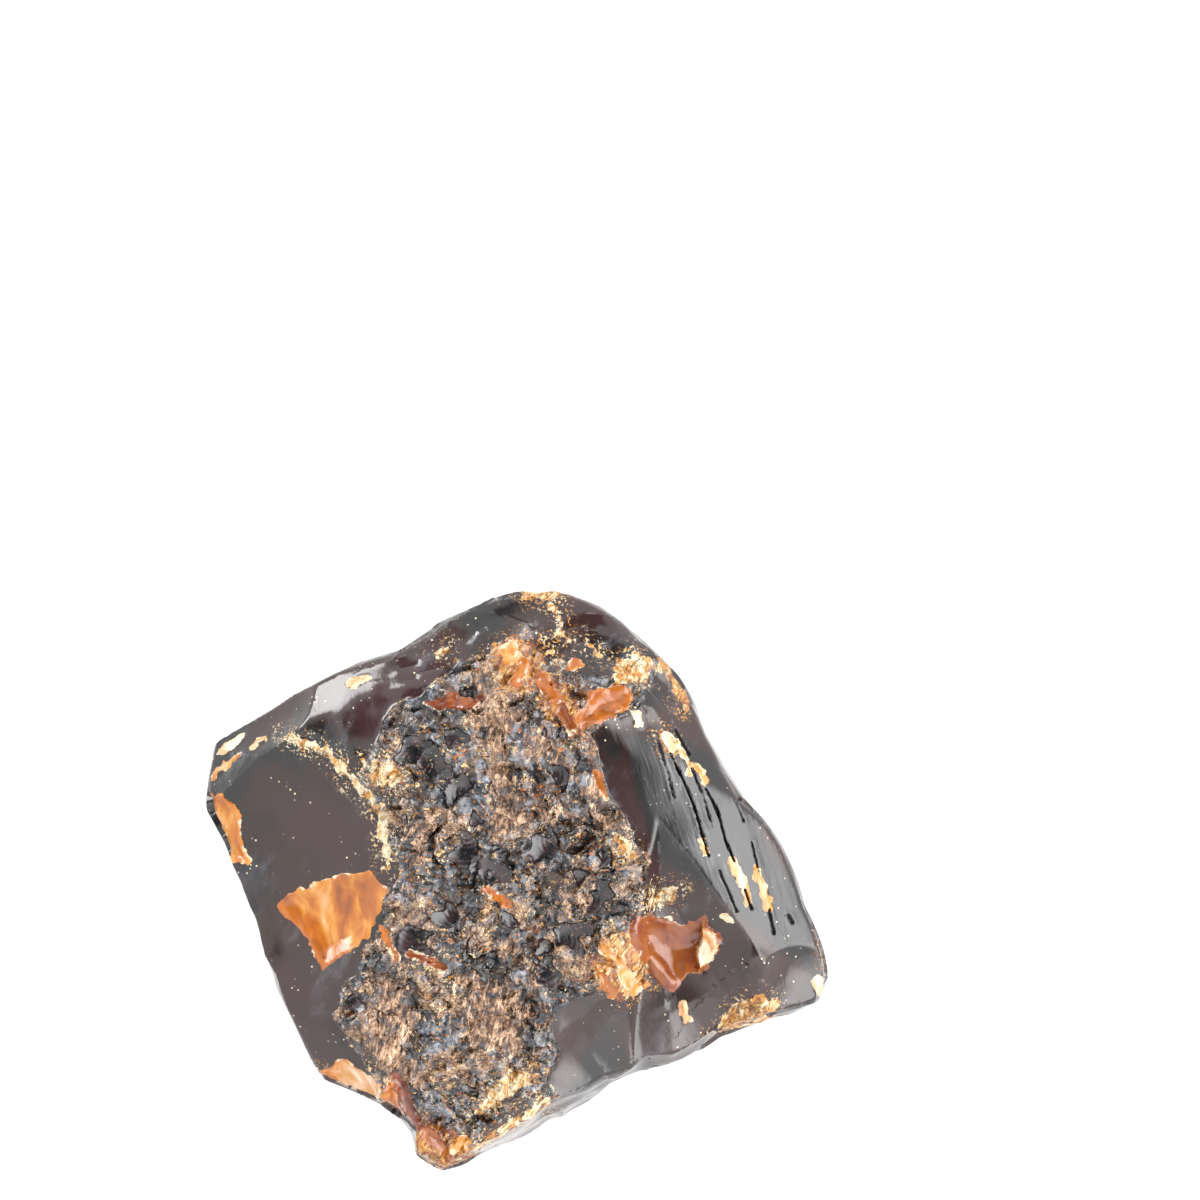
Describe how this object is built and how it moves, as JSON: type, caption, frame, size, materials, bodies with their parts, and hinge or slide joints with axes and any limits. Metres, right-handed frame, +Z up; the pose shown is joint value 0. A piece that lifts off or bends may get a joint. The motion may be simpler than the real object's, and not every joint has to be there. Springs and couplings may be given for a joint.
{
  "type": "raw amber stone",
  "caption": "Raw lump of blue amber: dark glossy broken faces, a crushed copper and black rind on top, and orange chips on its edges.",
  "frame": {"origin": "middle of the stone's bounding box, on the flat break that it lies on", "axes": "+Z up from the flat break through the rind, +X towards the pointed end, along the longest extent"},
  "size_m": [0.0522, 0.0488, 0.026],
  "materials": {
    "amber": "broken natural resin: glossy brown-black faces, a rough copper and grey rind, orange chips"
  },
  "bodies": {
    "root": {"amber_stone": "amber"}
  },
  "joints": []
}
